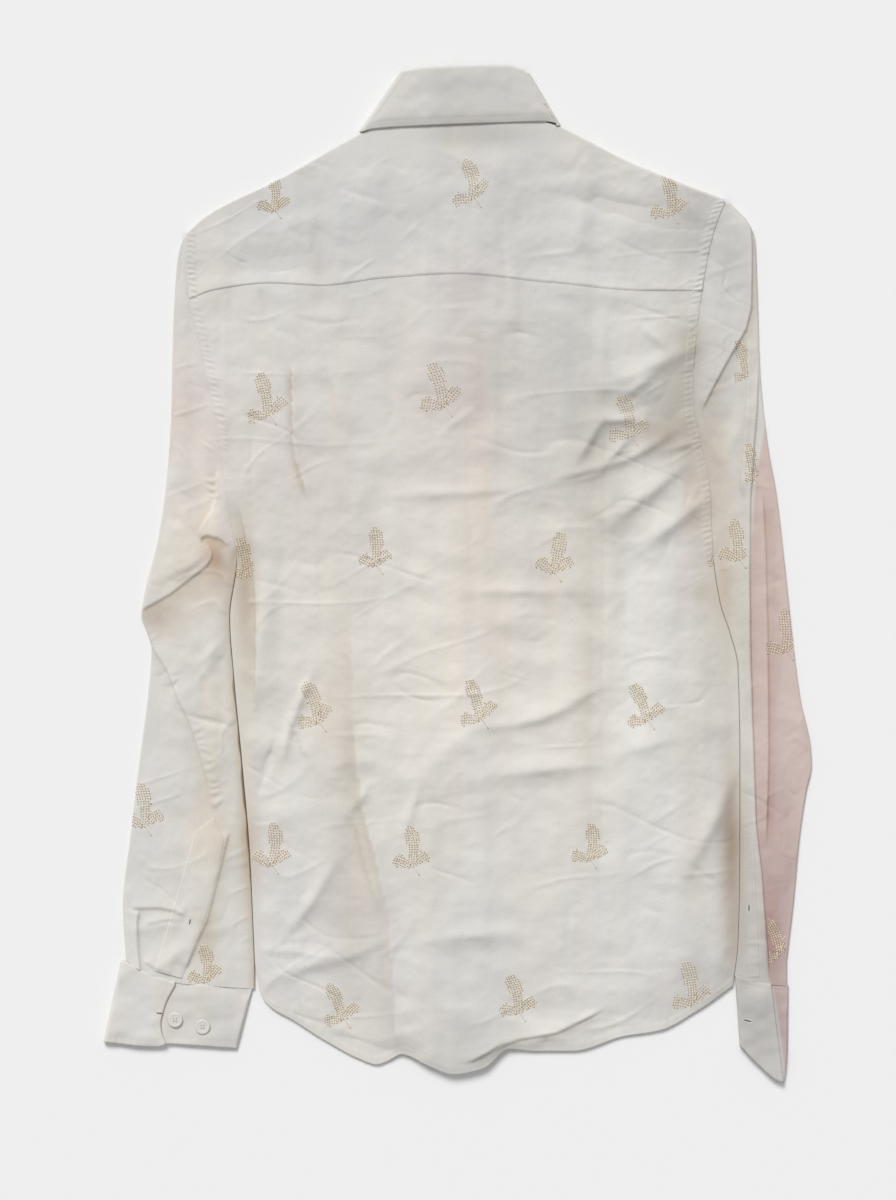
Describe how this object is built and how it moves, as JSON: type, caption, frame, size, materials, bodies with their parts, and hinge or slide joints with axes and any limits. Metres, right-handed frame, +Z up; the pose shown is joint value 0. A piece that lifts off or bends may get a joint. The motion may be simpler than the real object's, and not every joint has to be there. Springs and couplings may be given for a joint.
{
  "type": "embroidered linen shirt, laid flat",
  "caption": "Long-sleeved button-front linen shirt with yoke, turned-down collar, cuffs and leaf embroidery, lying flat on its front.",
  "frame": {"origin": "middle of the laid-out shirt's outline, on the surface it lies on", "axes": "+Z up from the surface, +Y towards the collar, +X towards the wearer's right sleeve, which is at the right with the back up"},
  "size_m": [0.568, 0.8138, 0.0095],
  "materials": {
    "linen": "matte woven cloth",
    "button": "satin"
  },
  "bodies": {
    "root": {"back_yoke": "linen", "back_panel": "linen", "left_front": "linen", "right_front": "linen", "front_placket": "linen", "left_sleeve": "linen", "right_sleeve": "linen", "left_sleeve_placket": "linen", "right_sleeve_placket": "linen", "left_cuff": "linen", "right_cuff": "linen", "collar_leaf": "linen", "collar_stand": "linen", "front_button_1": "button", "front_button_2": "button", "front_button_3": "button", "front_button_4": "button", "front_button_5": "button", "front_button_6": "button", "collar_button": "button", "left_cuff_button_1": "button", "left_cuff_button_2": "button"}
  },
  "joints": []
}
